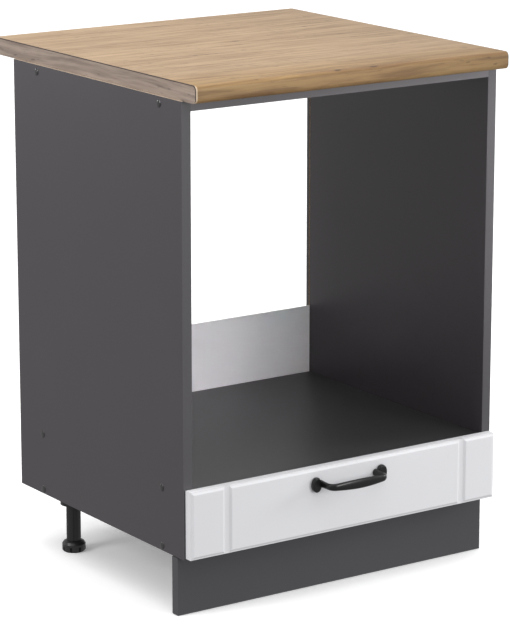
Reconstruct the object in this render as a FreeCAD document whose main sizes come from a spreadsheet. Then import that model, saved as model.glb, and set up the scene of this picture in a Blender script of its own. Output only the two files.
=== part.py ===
import FreeCAD, Part
import math
import os
import re
import Sketcher

# Oven housing cabinet, 600 mm wide, with one shallow drawer under the oven shelf.
# Millimetres. +Z is up, +X is to the right seen from the front, and the front faces -Y.
# The origin is on the floor, in the middle of the plan outline from handle to worktop.
# Left-hand pieces are built first, and right-hand ones are their mirror images in X = 0.

# Driving dimensions: word, millimetres, what it is
SIZES = [
    # carcass
    ("carcass_width", 600, "over both side panels"),
    ("carcass_depth", 500, "front edges to rear edges"),
    ("carcass_height", 718, "side panels"),
    ("leg_height", 97, "floor to the underside of the carcass"),
    ("board", 16, "thickness of the carcass boards"),
    ("edge_band", 0.8, "thickness of the bands on front edges"),
    ("drawer_bay_height", 77, "bottom panel to oven shelf"),
    ("rail_width", 100, "the two flat top rails"),
    ("back_thickness", 3, "thin back panel"),
    ("back_inset", 7, "rear edges to the back panel"),
    ("back_rise", 120, "back panel above the oven shelf"),
    ("groove_depth", 8, "grooves for the back panel"),
    ("groove_clearance", 0.2, "groove width beyond the back panel"),
    ("groove_end_gap", 0.5, "back panel's edge to the groove's floor"),
    # worktop
    ("worktop_side_inset", 3, "carcass sides to the worktop's ends"),
    ("worktop_thickness", 28, ""),
    ("worktop_overhang", 34, "past the carcass at the front"),
    ("worktop_rear_overhang", 66, "past the carcass at the rear"),
    ("worktop_end_band", 1, "thickness of the bands on its cut ends"),
    ("worktop_top_radius", 8, "upper front edge"),
    ("worktop_bottom_radius", 8, "lower front edge"),
    # plinth
    ("plinth_thickness", 16, ""),
    ("plinth_setback", 20, "carcass front to the plinth's face"),
    ("plinth_end_gap", 1, "plinth's ends to the carcass sides"),
    ("plinth_top_gap", 2, "plinth to carcass"),
    ("plinth_floor_gap", 1, "plinth to floor"),
    ("clip_height", 16, "clips that hold the plinth on the front legs"),
    ("clip_level", 44, "floor to the clips"),
    ("clip_wall", 3, ""),
    ("clip_jaw", 18, "opening of a clip's jaws"),
    ("clip_neck", 10, "width of a clip's neck"),
    ("clip_plate_width", 32, ""),
    ("clip_screw_pitch", 22, ""),
    # legs
    ("front_leg_inset", 72, "front legs' axis to the carcass front"),
    ("front_leg_side_inset", 64, "front legs' axis to the carcass sides"),
    ("rear_leg_inset", 104, "rear legs' axis to the carcass rear"),
    ("rear_leg_side_inset", 38, "rear legs' axis to the carcass sides"),
    ("leg_flange_radius", 33, "round plate under the carcass"),
    ("leg_flange_thickness", 3.5, ""),
    ("leg_cup_radius", 21.5, "socket that the tube plugs into"),
    ("leg_cup_depth", 16, "below the carcass"),
    ("leg_cup_wall", 2, ""),
    ("leg_tube_radius", 12, ""),
    ("leg_tube_wall", 2.5, ""),
    ("leg_nut_height", 20, "threaded lower end of the tube"),
    ("leg_flute_radius", 0.9, "six shallow flutes down the tube"),
    ("leg_screw_offset", 18.4, "screws from the leg's axis, both ways"),
    ("foot_radius", 19.5, ""),
    ("foot_height", 18.7, "floor to the foot's shoulder"),
    ("foot_rim_height", 13, "floor to the top of the rim"),
    ("foot_chamfer", 2.5, ""),
    ("foot_notch_radius", 2.2, "finger notches round the rim"),
    ("foot_notch_height", 9, ""),
    ("foot_stem_radius", 5, "threaded stem"),
    ("foot_stem_length", 40, ""),
    ("foot_gap", 0.3, "foot to tube when screwed right in"),
    # fits
    ("shaft_clearance", 0.05, "radial, turning and sliding shafts"),
    ("screw_clearance", 0.05, "radial, screws, dowels and plugged parts"),
    ("hole_end_gap", 0.5, "past the tips of screws and dowels"),
    # carcass fasteners
    ("screw_inset_front", 63, "front column of carcass screws"),
    ("screw_inset_rear", 73, "rear column, from the rear edges"),
    ("dowel_offset", 32, "from each carcass screw to its dowel"),
    ("dowel_radius", 4, ""),
    ("dowel_length", 30, ""),
    ("dowel_bite", 10, "length in the side panel"),
    ("carcass_screw_length", 50, ""),
    ("carcass_screw_head_radius", 4.75, ""),
    ("carcass_screw_head_height", 4, ""),
    ("carcass_screw_neck_radius", 3.5, "smooth neck in the side panel"),
    ("carcass_screw_core_radius", 2.5, "in the board's end"),
    ("socket_radius", 1.6, "drive socket in the head"),
    ("socket_depth", 3.5, ""),
    ("cap_radius", 6.3, "cover caps on the carcass screws"),
    ("cap_height", 1.7, ""),
    ("cap_peg_length", 3, ""),
    ("cap_peg_radius", 1.5, ""),
    # wood screws
    ("small_screw_radius", 1.75, ""),
    ("big_screw_radius", 2.25, ""),
    ("screw_head_radius", 3.6, "pan heads"),
    ("screw_head_height", 2.2, ""),
    ("box_screw_head_radius", 4.2, "countersunk heads"),
    ("box_screw_head_height", 2.4, ""),
    ("worktop_screw_length", 30, ""),
    ("worktop_screw_inset", 100, "from the carcass sides"),
    ("leg_screw_length", 14, ""),
    ("clip_screw_length", 14, ""),
    ("runner_screw_length", 13, ""),
    ("box_screw_length", 45, ""),
    ("front_screw_length", 28, ""),
    ("nail_radius", 0.8, ""),
    ("nail_head_radius", 2, ""),
    ("nail_head_height", 0.6, ""),
    ("nail_length", 22, ""),
    ("nail_pitch", 120, ""),
    # drawer
    ("drawer_front_side_gap", 2.5, "carcass sides to the drawer front's ends"),
    ("drawer_front_height", 110, ""),
    ("drawer_front_thickness", 16, ""),
    ("drawer_front_rise", 3, "its lower edge above the carcass underside"),
    ("drawer_gap", 1, "carcass front to the drawer front"),
    ("bevel_width", 5, "bevelled rim of the drawer front"),
    ("bevel_depth", 2, ""),
    ("channel_inset", 67.5, "drawer front's end to each channel's centre"),
    ("channel_width", 18, "upright channels, at the face"),
    ("channel_floor", 7, "upright channels, at the floor"),
    ("channel_depth", 2, ""),
    ("box_board", 16, "drawer box boards"),
    ("box_height", 52, ""),
    ("drawer_rear_gap", 41, "drawer box to the back panel"),
    ("box_lift", 12, "bottom panel to the box"),
    ("box_bottom_thickness", 3, ""),
    ("box_bottom_lift", 12, "lower edges to the drawer bottom"),
    ("box_groove_depth", 6, ""),
    ("box_screw_low", 27, "lower screws above the box's lower edge"),
    ("box_screw_high", 44, "upper screws above the box's lower edge"),
    ("front_screw_low", 22, "drawer front screws above the box's lower edge"),
    ("front_screw_high", 42, ""),
    ("front_screw_inset", 71, "from the drawer box's sides"),
    # handle
    ("handle_pitch", 128, "foot to foot"),
    ("handle_level", 84, "above the drawer front's lower edge"),
    ("handle_projection", 38, "drawer front to the grip's face"),
    ("grip_height", 16, "at the middle"),
    ("grip_thickness", 5.2, "at the middle"),
    ("grip_radius", 300, "shallow arc from elbow to elbow"),
    ("elbow_radius", 10, "along the middle of the bar"),
    ("elbow_height", 11, ""),
    ("elbow_thickness", 7, ""),
    ("arm_inset", 10.3, "foot's axis to the arm beside it"),
    ("arm_height", 12, "at the foot"),
    ("arm_thickness", 10.5, "at the foot"),
    ("arm_gap", 0.5, "the arm's end to the drawer front"),
    ("handle_foot_height", 24.5, "oval feet"),
    ("handle_foot_width", 17.5, ""),
    ("handle_foot_thickness", 8, ""),
    ("handle_foot_rounding", 2.5, ""),
    ("handle_screw_radius", 2, ""),
    ("handle_screw_bite", 6, "length in the handle"),
    # roller runners
    ("runner_space", 13, "side panel to drawer side"),
    ("runner_setback", 2, "carcass front to the cabinet runner"),
    ("runner_steel", 1.2, "sheet thickness"),
    ("runner_track", 18.6, "height inside a track"),
    ("runner_flange_gap", 0.4, "between the two runners' flanges"),
    ("runner_ledge", 12, "ledge under the drawer side"),
    ("runner_screw_end", 60, "first runner screw from each end"),
    ("roller_radius", 9, ""),
    ("roller_width", 3.8, ""),
    ("roller_gap", 0.15, "each side of a roller"),
    ("roller_recess", 0.6, "turned into each face"),
    ("cabinet_roller_inset", 14, "from the cabinet runner's front end"),
    ("drawer_roller_inset", 12, "from the drawer runner's rear end"),
    ("axle_radius", 2, ""),
    ("axle_shoulder_radius", 3, ""),
    ("axle_head_radius", 3.2, ""),
    ("axle_head_height", 0.65, ""),
]

# Places that follow from the sizes: word, formula, what it is
PLACES = [
    ("front", "(drawer_gap + drawer_front_thickness + handle_projection"
              " - carcass_depth - worktop_rear_overhang) / 2", "Y of the carcass front"),
    ("rear", "(drawer_gap + drawer_front_thickness + handle_projection"
             " + carcass_depth - worktop_rear_overhang) / 2", "Y of the rear edges"),
    ("outer", "-carcass_width / 2", "X of the left outer face"),
    ("inner", "-carcass_width / 2 + board", "X of the left inner face"),
    ("bay_width", "carcass_width - 2 * board", "between the side panels"),
    ("shelf_level", "leg_height + board + drawer_bay_height", "underside of the shelf"),
    ("carcass_top", "leg_height + carcass_height", ""),
    ("inner_depth", "carcass_depth - back_inset - back_thickness", "front to back panel"),
    ("box_length", "carcass_depth - back_inset - back_thickness + drawer_gap"
                   " - drawer_rear_gap", "drawer box and runners"),
    ("box_level", "leg_height + board + box_lift", "underside of the drawer box"),
    ("box_width", "carcass_width - 2 * board - 2 * runner_space", "over the box sides"),
    ("front_level", "leg_height + drawer_front_rise", "underside of the drawer front"),
    ("drawer_front_width", "carcass_width - 2 * drawer_front_side_gap", ""),
    ("worktop_width", "carcass_width - 2 * worktop_side_inset", "over both end bands"),
    ("worktop_depth", "carcass_depth + worktop_overhang + worktop_rear_overhang", ""),
    ("handle_height", "leg_height + drawer_front_rise + handle_level", "handle's axis"),
    ("arm_x", "handle_pitch / 2 - arm_inset", "middle of the handle to its arms"),
    ("elbow_x", "handle_pitch / 2 - arm_inset - elbow_radius", "and to the elbows' centres"),
    ("grip_centre", "handle_projection - grip_thickness / 2 - grip_radius",
     "out from the drawer front to the grip arc's centre"),
    ("elbow_out", "handle_projection - grip_thickness / 2 - grip_radius + sqrt((grip_radius"
                  " - elbow_radius)^2 - (handle_pitch / 2 - arm_inset - elbow_radius)^2)",
     "out from the drawer front to the elbows' centres"),
    ("elbow_turn", "acos((handle_pitch / 2 - arm_inset - elbow_radius)"
                   " / (grip_radius - elbow_radius))", "angle of each elbow"),
]

doc = FreeCAD.newDocument("oven_housing_cabinet")
sheet_of = {}
pieces = []


def linked(formula, sheets=("sizes", "places")):
    """Name the sheet in front of each word that a sheet holds."""
    def with_sheet(word):
        sheet = sheet_of.get(word.group())
        return f"{sheet}.{word.group()}" if sheet in sheets else word.group()
    return re.sub(r"[a-z_]+", with_sheet, formula)


def write_sheet(name, rows):
    """A spreadsheet with one alias in each row."""
    sheet = doc.addObject("Spreadsheet::Sheet", name)
    for row, (word, content, meaning) in enumerate(rows, start=1):
        sheet.set(f"A{row}", word)
        sheet.set(f"B{row}", str(content))
        sheet.setAlias(f"B{row}", word)
        sheet.set(f"C{row}", meaning)
        sheet_of[word] = name


def bind(thing, **formulas):
    """Tie properties of an object to the sheets."""
    for name, formula in formulas.items():
        thing.setExpression(name, linked(formula))


def move(thing, x="0", y="0", z="0"):
    """Tie an object's place to the sheets."""
    for axis, formula in zip("xyz", (x, y, z)):
        thing.setExpression(f"Placement.Base.{axis}", linked(formula))


def keep(thing, label):
    """Name a finished piece and list it for export."""
    thing.Label = label
    pieces.append(thing)
    return thing


def value(word):
    """The number in a sheet's cell."""
    cell = doc.getObject(sheet_of[word]).get(word)
    return getattr(cell, "Value", cell)


def volume(thing):
    doc.recompute()
    return Part.getShape(thing).Volume


# Sketches and features

def new_body(name):
    return doc.addObject("PartDesign::Body", name)


def origin_item(body, role):
    return next(item for item in body.Origin.OriginFeatures if item.Role == role)


def sketch_on(body, role, level="0"):
    """A sketch on one of the body's own planes, raised along its normal."""
    sketch = body.newObject("Sketcher::SketchObject", f"{body.Name}_sketch")
    sketch.AttachmentSupport = [(origin_item(body, role), "")]
    sketch.MapMode = "FlatFace"
    sketch.setExpression("AttachmentOffset.Base.z", linked(level))
    return sketch


def tie(sketch, kind, element, value, *target):
    """A dimension of a sketch, tied to a formula."""
    number = sketch.addConstraint(Sketcher.Constraint(kind, *target, value))
    sketch.setExpression(f"Constraints[{number}]", element)


def draw_polygon(sketch, corners):
    """A closed outline of straight lines through corners given as formulas."""
    formulas = [(linked(x), linked(y)) for x, y in corners]
    points = [FreeCAD.Vector(float(sketch.evalExpression(x)), float(sketch.evalExpression(y)), 0)
              for x, y in formulas]
    first = sketch.GeometryCount
    count = len(points)
    for index, point in enumerate(points):
        sketch.addGeometry(Part.LineSegment(point, points[(index + 1) % count]))
    for index in range(count):
        following = first + (index + 1) % count
        sketch.addConstraint(Sketcher.Constraint("Coincident", first + index, 2, following, 1))
    for index, (x, y) in enumerate(formulas):
        tie(sketch, "DistanceX", x, points[index].x, -1, 1, first + index, 1)
        tie(sketch, "DistanceY", y, points[index].y, -1, 1, first + index, 1)


def draw_circle(sketch, x, y, radius):
    """A circle with its centre and radius given as formulas."""
    x, y, radius = linked(x), linked(y), linked(radius)
    centre = FreeCAD.Vector(float(sketch.evalExpression(x)), float(sketch.evalExpression(y)), 0)
    size = float(sketch.evalExpression(radius))
    number = sketch.addGeometry(Part.Circle(centre, FreeCAD.Vector(0, 0, 1), size))
    tie(sketch, "DistanceX", x, centre.x, -1, 1, number, 3)
    tie(sketch, "DistanceY", y, centre.y, -1, 1, number, 3)
    tie(sketch, "Radius", radius, size, number)


def rectangle(x, y, width, height):
    """Corners of a rectangle from its lowest corner and its sides."""
    return [(x, y), (f"{x} + {width}", y), (f"{x} + {width}", f"{y} + {height}"),
            (x, f"{y} + {height}")]


def add_feature(body, kind, sketch, **formulas):
    feature = body.newObject(f"PartDesign::{kind}", f"{body.Name}_{kind.lower()}")
    feature.Profile = sketch
    bind(feature, **formulas)
    return feature


def pad(body, sketch, length, backwards=False):
    feature = add_feature(body, "Pad", sketch, Length=length)
    feature.Reversed = backwards
    return feature


def pocket(body, sketch, length, backwards=False):
    """A cut along the sketch's normal reversed, or along it when backwards."""
    before = volume(body)
    feature = add_feature(body, "Pocket", sketch, Length=length)
    feature.Reversed = backwards
    if not volume(body) < before:
        raise RuntimeError(f"{feature.Name} cuts nothing")
    return feature


def turned(name, profile):
    """A body turned about Z from a profile of (radius, height) formulas."""
    body = new_body(name)
    sketch = sketch_on(body, "XZ_Plane")
    draw_polygon(sketch, profile)
    feature = body.newObject("PartDesign::Revolution", f"{name}_turning")
    feature.Profile = sketch
    feature.ReferenceAxis = (sketch, ["V_Axis"])
    return body


def around(body, feature, count):
    """Repeat a feature of a body evenly about Z."""
    before = volume(body)
    pattern = body.newObject("PartDesign::PolarPattern", f"{body.Name}_pattern")
    pattern.Originals = [feature]
    pattern.Axis = (origin_item(body, "Z_Axis"), [""])
    pattern.Angle = 360
    pattern.Occurrences = count
    body.Tip = pattern
    if volume(body) == before:
        raise RuntimeError(f"{pattern.Name} repeats nothing")


def board(name, width, depth, height, x, y, z):
    """A plain board, with the place of its lowest corner."""
    body = new_body(name)
    sketch = sketch_on(body, "XY_Plane")
    draw_polygon(sketch, rectangle("0", "0", width, depth))
    pad(body, sketch, height)
    move(body, x, y, z)
    return body


def extruded_along_y(name, outline, length):
    """A body with one outline in X and Z, running back from Y = 0."""
    body = new_body(name)
    sketch = sketch_on(body, "XZ_Plane")
    draw_polygon(sketch, outline)
    pad(body, sketch, length, backwards=True)
    return body


def compound(name, members):
    group = doc.addObject("Part::Compound", name)
    group.Links = members
    return group


def mirrored(thing, name):
    """The mirror image of a finished piece in the cabinet's middle plane."""
    image = doc.addObject("Part::Mirroring", name)
    image.Source = thing
    image.Normal = FreeCAD.Vector(1, 0, 0)
    return image


def both_sides(left, stem):
    """Keep a left-hand piece and its right-hand mirror image."""
    keep(left, f"{stem}_left")
    keep(mirrored(left, f"{stem}_image"), f"{stem}_right")


def cut(name, base, tools, refine=True):
    """A piece with material taken out by other solids."""
    result = doc.addObject("Part::Cut", name)
    result.Base = base
    result.Tool = compound(f"{name}_tools", tools)
    result.Refine = refine
    if not volume(result) < volume(base):
        raise RuntimeError(f"{name} is not cut")
    return result


# Fasteners. Each kind is a turned piece that points down from Z = 0, with the hole it needs.
# A row of fasteners is a group of linked copies, and its holes are copies at the same places.

TO_RIGHT = FreeCAD.Rotation(FreeCAD.Vector(0, 1, 0), -90)
TO_LEFT = FreeCAD.Rotation(FreeCAD.Vector(0, 1, 0), 90)
UPWARDS = FreeCAD.Rotation(FreeCAD.Vector(1, 0, 0), 180)
TO_REAR = FreeCAD.Rotation(FreeCAD.Vector(1, 0, 0), 90)
TO_FRONT = FreeCAD.Rotation(FreeCAD.Vector(1, 0, 0), -90)


def pan_screw(name, radius, length):
    """A screw whose flat-backed head stands on the surface it holds."""
    hole = f"{radius} + screw_clearance"
    piece = turned(name, [
        ("0", "screw_head_height"), ("screw_head_radius - 0.8", "screw_head_height"),
        ("screw_head_radius", "screw_head_height / 2"), ("screw_head_radius", "0"),
        (radius, "0"), (radius, f"-{length} + {radius}"), ("0", f"-{length}")])
    room = turned(f"{name}_hole", [
        ("0", "0"), (hole, "0"), (hole, f"-{length}"), ("0", f"-{length} - hole_end_gap")])
    return piece, room


def sunk_screw(name, head_radius, head_height, radius, length):
    """A screw whose cone-shaped head is flush with the surface."""
    hole = f"{radius} + screw_clearance"
    piece = turned(name, [
        ("0", "0"), (head_radius, "0"), (radius, f"-{head_height}"),
        (radius, f"-{length} + {radius}"), ("0", f"-{length}")])
    room = turned(f"{name}_hole", [
        ("0", "0"), (f"{head_radius} + screw_clearance", "0"), (hole, f"-{head_height}"),
        (hole, f"-{length}"), ("0", f"-{length} - hole_end_gap")])
    return piece, room


def copies(name, master, turn, spots):
    """Linked copies of one piece, each turned alike and put at (x, y, z)."""
    links = []
    for number, spot in enumerate(spots, start=1):
        link = doc.addObject("App::Link", f"{name}_{number}")
        link.LinkedObject = master
        link.Placement = FreeCAD.Placement(FreeCAD.Vector(), turn)
        move(link, *spot)
        links.append(link)
    return compound(name, links)


def row(name, kind, turn, spots, both=False):
    """A group of fasteners of one kind, and the group of their holes."""
    groups = []
    for part, suffix in zip(kind, ("row", "holes")):
        group = copies(f"{name}_{suffix}", part, turn, spots)
        if both:
            image = mirrored(group, f"{name}_{suffix}_image")
            group = compound(f"{name}_{suffix}_pair", [group, image])
        groups.append(group)
    return groups


def grid(columns, levels, place):
    """Spots at every column and level, through place(column, level)."""
    return [place(column, level) for level in levels for column in columns]


write_sheet("sizes", SIZES)
write_sheet("places", [(word, "=" + linked(formula, ("sizes",)), meaning)
                       for word, formula, meaning in PLACES])
doc.recompute()

# Carcass screws, their caps and the dowels beside them

carcass_screw = (
    turned("carcass_screw", [
        ("socket_radius", "0"), ("carcass_screw_head_radius", "0"),
        ("carcass_screw_neck_radius", "-carcass_screw_head_height"),
        ("carcass_screw_neck_radius", "-board"), ("carcass_screw_core_radius", "-board"),
        ("carcass_screw_core_radius", "-carcass_screw_length + carcass_screw_core_radius"),
        ("0", "-carcass_screw_length"), ("0", "-socket_depth"),
        ("socket_radius", "-socket_depth")]),
    turned("carcass_screw_hole", [
        ("0", "0"), ("carcass_screw_head_radius + screw_clearance", "0"),
        ("carcass_screw_neck_radius + screw_clearance", "-carcass_screw_head_height"),
        ("carcass_screw_neck_radius + screw_clearance", "-board"),
        ("carcass_screw_core_radius + screw_clearance", "-board"),
        ("carcass_screw_core_radius + screw_clearance", "-carcass_screw_length"),
        ("0", "-carcass_screw_length - hole_end_gap")]))
screw_cap = (
    turned("screw_cap", [
        ("0", "cap_height"), ("cap_radius * 0.5", "cap_height * 0.93"),
        ("cap_radius * 0.8", "cap_height * 0.68"), ("cap_radius * 0.95", "cap_height * 0.35"),
        ("cap_radius", "0"), ("cap_peg_radius", "0"),
        ("cap_peg_radius", "-cap_peg_length"), ("0", "-cap_peg_length")]),)
dowel = (
    turned("dowel", [
        ("0", "0"), ("dowel_radius - 1", "0"), ("dowel_radius", "-1"),
        ("dowel_radius", "-dowel_length + 1"), ("dowel_radius - 1", "-dowel_length"),
        ("0", "-dowel_length")]),
    turned("dowel_hole", [
        ("0", "0"), ("dowel_radius + screw_clearance", "0"),
        ("dowel_radius + screw_clearance", "-dowel_length - hole_end_gap"),
        ("0", "-dowel_length - hole_end_gap")]))

SCREW_COLUMNS = ("front + screw_inset_front", "rear - screw_inset_rear")
DOWEL_COLUMNS = ("front + screw_inset_front - dowel_offset",
                 "rear - screw_inset_rear + dowel_offset")
BOARD_LEVELS = ("leg_height + board / 2", "shelf_level + board / 2", "carcass_top - board / 2")
SCREW_LEVELS = ("leg_height + board / 2", "shelf_level + board * 0.6", "carcass_top - board * 0.7")

carcass_screws, carcass_screw_holes = row(
    "carcass_screws", carcass_screw, TO_RIGHT,
    grid(SCREW_COLUMNS, SCREW_LEVELS, lambda y, z: ("outer", y, z)), both=True)
(screw_caps,) = row(
    "screw_caps", screw_cap, TO_RIGHT,
    grid(SCREW_COLUMNS, SCREW_LEVELS, lambda y, z: ("outer", y, z)), both=True)
carcass_dowels, dowel_holes = row(
    "carcass_dowels", dowel, TO_RIGHT,
    grid(DOWEL_COLUMNS, BOARD_LEVELS, lambda y, z: ("inner - dowel_bite", y, z)), both=True)
keep(carcass_screws, "carcass_screws")
keep(screw_caps, "screw_caps")
keep(carcass_dowels, "carcass_dowels")

# Screws under the worktop, under the legs' plates, and the back panel's nails

worktop_screws, worktop_screw_holes = row(
    "worktop_screws", pan_screw("worktop_screw", "big_screw_radius", "worktop_screw_length"),
    UPWARDS, [("outer + worktop_screw_inset", y, "carcass_top - board")
              for y in ("front + rail_width / 2", "front + inner_depth - rail_width / 2")],
    both=True)
keep(worktop_screws, "worktop_screws")

LEGS = {"front": ("outer + front_leg_side_inset", "front + front_leg_inset"),
        "rear": ("outer + rear_leg_side_inset", "rear - rear_leg_inset")}
leg_screw = pan_screw("leg_screw", "small_screw_radius", "leg_screw_length")
leg_screws, leg_screw_holes = row(
    "leg_screws", leg_screw, UPWARDS,
    [(f"{x} {across} leg_screw_offset", f"{y} {along} leg_screw_offset",
      "leg_height - leg_flange_thickness")
     for x, y in LEGS.values() for across in "+-" for along in "+-"],
    both=True)
keep(leg_screws, "leg_screws")

nail = (
    turned("nail", [
        ("0", "nail_head_height"), ("nail_head_radius", "nail_head_height"),
        ("nail_head_radius", "0"), ("nail_radius", "0"),
        ("nail_radius", "-nail_length + nail_radius"), ("0", "-nail_length")]),
    turned("nail_hole", [
        ("0", "0"), ("nail_radius + screw_clearance", "0"),
        ("nail_radius + screw_clearance", "-nail_length"),
        ("0", "-nail_length - hole_end_gap")]))
nails, nail_holes = row(
    "nails", nail, TO_FRONT,
    [(f"{step} * nail_pitch", "rear - back_inset", level)
     for step in range(-2, 3) for level in BOARD_LEVELS[:2]])
keep(nails, "back_panel_nails")

# Runner screws: flush cones in the steel, three in the cabinet and three in the drawer

RUNNER_STEPS = ("runner_screw_end", "box_length / 2", "box_length - runner_screw_end")
RUNNER_MIDDLE = "box_level + runner_track / 2"
BOX_X = "inner + runner_space"
BOX_Y = "front - drawer_gap"
runner_screw = sunk_screw("runner_screw", "2 * small_screw_radius", "runner_steel",
                          "small_screw_radius", "runner_screw_length")
cabinet_runner_screws, cabinet_runner_screw_holes = row(
    "cabinet_runner_screws", runner_screw, TO_LEFT,
    [("inner + runner_steel", f"front + runner_setback + {step}", RUNNER_MIDDLE)
     for step in RUNNER_STEPS], both=True)
drawer_runner_screws, drawer_runner_screw_holes = row(
    "drawer_runner_screws", runner_screw, TO_RIGHT,
    [(f"{BOX_X} - runner_steel", f"{BOX_Y} + {step}", RUNNER_MIDDLE)
     for step in RUNNER_STEPS], both=True)
keep(cabinet_runner_screws, "cabinet_runner_screws")
keep(drawer_runner_screws, "drawer_runner_screws")

# Side panels

side_blank = board("side_blank", "board", "carcass_depth - edge_band", "carcass_height",
                   "outer", "front + edge_band", "leg_height")
side_groove = sketch_on(side_blank, "YZ_Plane", "board")
draw_polygon(side_groove, rectangle(
    "inner_depth - edge_band - groove_clearance / 2", "0",
    "(back_thickness + groove_clearance)", "carcass_height"))
pocket(side_blank, side_groove, "groove_depth")
both_sides(cut("side_panel", side_blank,
               [carcass_screw_holes, dowel_holes, cabinet_runner_screw_holes]), "side_panel")
both_sides(board("side_band", "board", "edge_band", "carcass_height",
                 "outer", "front", "leg_height"), "side_edge_band")

# Boards between the side panels, with the bands on their front edges

def cross_board(name, depth, y, z, tools):
    blank = board(f"{name}_blank", "bay_width", depth, "board", "inner", y, z)
    keep(cut(name, blank, tools), name)


def cross_band(name, z):
    keep(board(name, "bay_width", "edge_band", "board", "inner", "front", z), name)


JOINERY = [carcass_screw_holes, dowel_holes]
cross_board("bottom_panel", "inner_depth - edge_band", "front + edge_band", "leg_height",
            JOINERY + [leg_screw_holes, nail_holes])
cross_board("oven_shelf", "inner_depth - edge_band", "front + edge_band", "shelf_level",
            JOINERY + [nail_holes])
cross_board("top_rail_front", "rail_width - edge_band", "front + edge_band",
            "carcass_top - board", JOINERY + [worktop_screw_holes])
cross_board("top_rail_rear", "rail_width", "front + inner_depth - rail_width",
            "carcass_top - board", JOINERY + [worktop_screw_holes])
cross_band("bottom_edge_band", "leg_height")
cross_band("shelf_edge_band", "shelf_level")
cross_band("rail_edge_band", "carcass_top - board")

# Back panel, held in the side panels' grooves and nailed to bottom and shelf

BACK_REACH = "(groove_depth - groove_end_gap)"
back_blank = board("back_blank", f"bay_width + 2 * {BACK_REACH}", "back_thickness",
                   "shelf_level + board + back_rise - leg_height",
                   f"inner - {BACK_REACH}", "front + inner_depth", "leg_height")
keep(cut("back", back_blank, [nail_holes]), "back_panel")

# Worktop: a slab with a rounded front edge, and a thin band of the same outline on each end

def worktop_slab(name, length, x):
    """A length of worktop, with its two front edges rounded."""
    body = new_body(name)
    sketch = sketch_on(body, "YZ_Plane")
    draw_polygon(sketch, rectangle("0", "0", "worktop_depth", "worktop_thickness"))
    pad(body, sketch, length)
    move(body, x, "front - worktop_overhang", "carcass_top")
    for height, radius in (("worktop_thickness", "worktop_top_radius"),
                           ("0", "worktop_bottom_radius")):
        slab = body.Tip
        doc.recompute()
        level = float(slab.evalExpression(linked(height)))
        edge = next(number for number, edge in enumerate(slab.Shape.Edges, start=1)
                    if abs(edge.BoundBox.ZMin - level) + abs(edge.BoundBox.ZMax - level) < 0.01
                    and abs(edge.BoundBox.YMax - slab.Shape.BoundBox.YMin) < 0.01)
        rounding = body.newObject("PartDesign::Fillet", f"{name}_rounding")
        rounding.Base = (slab, [f"Edge{edge}"])
        bind(rounding, Radius=radius)
    return body


worktop_blank = worktop_slab("worktop_blank", "worktop_width - 2 * worktop_end_band",
                             "-worktop_width / 2 + worktop_end_band")
keep(cut("worktop_cut", worktop_blank, [worktop_screw_holes]), "worktop")
both_sides(worktop_slab("worktop_end", "worktop_end_band", "-worktop_width / 2"),
           "worktop_edge")

# Legs: a screwed-on socket, a tube plugged into it, and a foot on a threaded stem

socket = turned("socket", [
    ("0", "0"), ("leg_flange_radius", "0"), ("leg_flange_radius", "1 - leg_flange_thickness"),
    ("leg_flange_radius - 1", "-leg_flange_thickness"),
    ("leg_cup_radius", "-leg_flange_thickness"), ("leg_cup_radius", "-leg_cup_depth"),
    ("leg_cup_radius - leg_cup_wall", "-leg_cup_depth"),
    ("leg_cup_radius - leg_cup_wall", "-leg_flange_thickness"),
    ("leg_tube_radius + screw_clearance + leg_cup_wall", "-leg_flange_thickness"),
    ("leg_tube_radius + screw_clearance + leg_cup_wall", "-leg_cup_depth"),
    ("leg_tube_radius + screw_clearance", "-leg_cup_depth"),
    ("leg_tube_radius + screw_clearance", "-leg_flange_thickness"),
    ("0", "-leg_flange_thickness")])
socket_rib = sketch_on(socket, "XY_Plane", "-leg_cup_depth + 1")
draw_polygon(socket_rib, rectangle(
    "leg_tube_radius + leg_cup_wall / 2", "-leg_cup_wall / 2",
    "leg_cup_radius - leg_tube_radius - leg_cup_wall", "leg_cup_wall"))
around(socket, pad(socket, socket_rib, "leg_cup_depth - 1 - leg_flange_thickness / 2"), 6)
socket_holes = sketch_on(socket, "XY_Plane")
for across in ("leg_screw_offset", "-leg_screw_offset"):
    for along in ("leg_screw_offset", "-leg_screw_offset"):
        draw_circle(socket_holes, across, along, "small_screw_radius + screw_clearance")
pocket(socket, socket_holes, "leg_flange_thickness")

TUBE_FOOT = "(foot_height + foot_gap)"
TUBE_LENGTH = f"leg_height - leg_flange_thickness - {TUBE_FOOT}"
tube = turned("tube", [
    ("foot_stem_radius + shaft_clearance", "0"), ("leg_tube_radius", "0"),
    ("leg_tube_radius", TUBE_LENGTH), ("leg_tube_radius - leg_tube_wall", TUBE_LENGTH),
    ("leg_tube_radius - leg_tube_wall", "leg_nut_height"),
    ("foot_stem_radius + shaft_clearance", "leg_nut_height")])
tube_flute = sketch_on(tube, "XY_Plane")
draw_circle(tube_flute, "leg_tube_radius + leg_flute_radius / 4", "0", "leg_flute_radius")
around(tube, pocket(tube, tube_flute, TUBE_LENGTH, backwards=True), 6)

foot = turned("foot", [
    ("0", "0"), ("foot_radius - foot_chamfer", "0"), ("foot_radius", "foot_chamfer"),
    ("foot_radius", "foot_rim_height"),
    ("foot_radius - foot_chamfer", "(foot_rim_height + foot_height) / 2 + 0.8"),
    ("leg_tube_radius + 1", "foot_height"), ("foot_stem_radius", "foot_height"),
    ("foot_stem_radius", "foot_height + foot_stem_length - 1"),
    ("foot_stem_radius - 1", "foot_height + foot_stem_length"),
    ("0", "foot_height + foot_stem_length")])
foot_notch = sketch_on(foot, "XY_Plane")
draw_circle(foot_notch, "foot_radius + foot_notch_radius / 4", "0", "foot_notch_radius")
around(foot, pocket(foot, foot_notch, "foot_notch_height", backwards=True), 8)

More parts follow.
